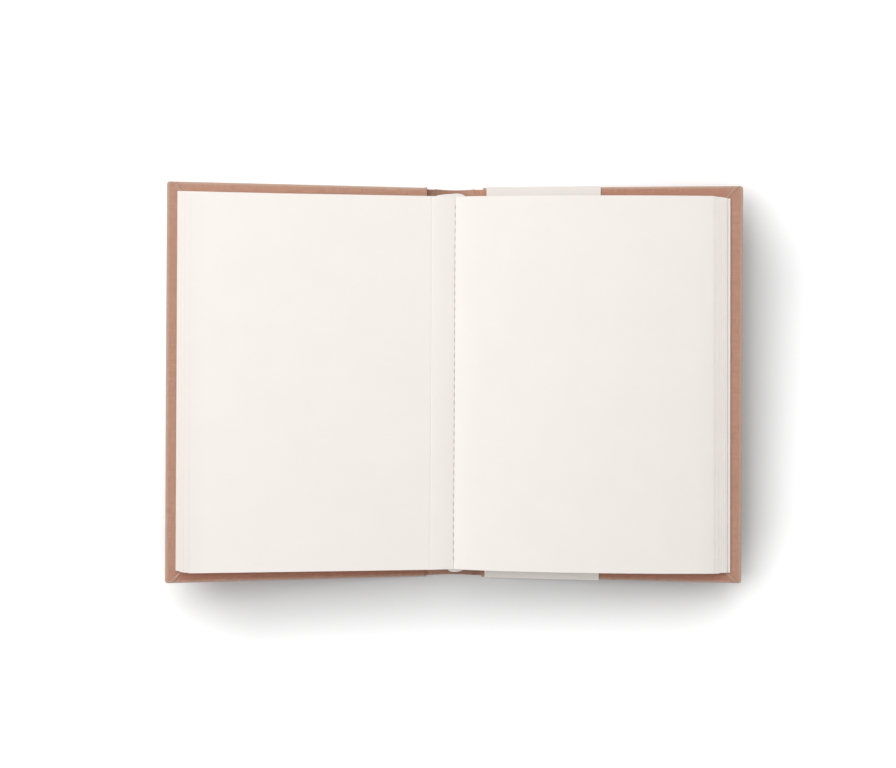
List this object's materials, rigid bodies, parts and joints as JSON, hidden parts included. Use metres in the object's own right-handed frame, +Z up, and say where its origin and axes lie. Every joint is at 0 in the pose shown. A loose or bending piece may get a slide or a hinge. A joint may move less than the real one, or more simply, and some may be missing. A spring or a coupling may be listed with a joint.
{
  "type": "photo album",
  "caption": "Open cloth-bound photo album lying on its spine, with sewn blank leaves, hinged covers and a paper band round the back cover.",
  "frame": {"origin": "underside of the spine, midway along it, on the table", "axes": "+X across the open spread towards the back cover, +Y along the spine towards the head of the pages, +Z up"},
  "size_m": [0.3215, 0.2234, 0.03],
  "materials": {
    "cover_cloth": "woven linen book cloth",
    "endpaper": "uncoated paper",
    "leaf_paper": "uncoated card",
    "thread": "spun cotton thread",
    "headband_cotton": "woven cotton",
    "band_paper": "smooth paper"
  },
  "bodies": {
    "block": {"spine": "cover_cloth", "pages": "leaf_paper", "gutter_thread": "thread", "head_band": "headband_cotton", "tail_band": "headband_cotton"},
    "front_cover": {"front_cover": "cover_cloth", "front_endpaper": "endpaper"},
    "back_cover": {"back_cover": "cover_cloth", "back_endpaper": "endpaper", "paper_band": "band_paper"}
  },
  "joints": [
    {"name": "front_cover_hinge", "type": "hinge", "parent": "block", "child": "front_cover", "pos_m": [-0.0139, 0, 0], "axis": [0, -1, 0], "range_deg": [0, 9.5]},
    {"name": "back_cover_hinge", "type": "hinge", "parent": "block", "child": "back_cover", "pos_m": [0.0139, 0, 0], "axis": [0, 1, 0], "range_deg": [0, 6.35]}
  ]
}
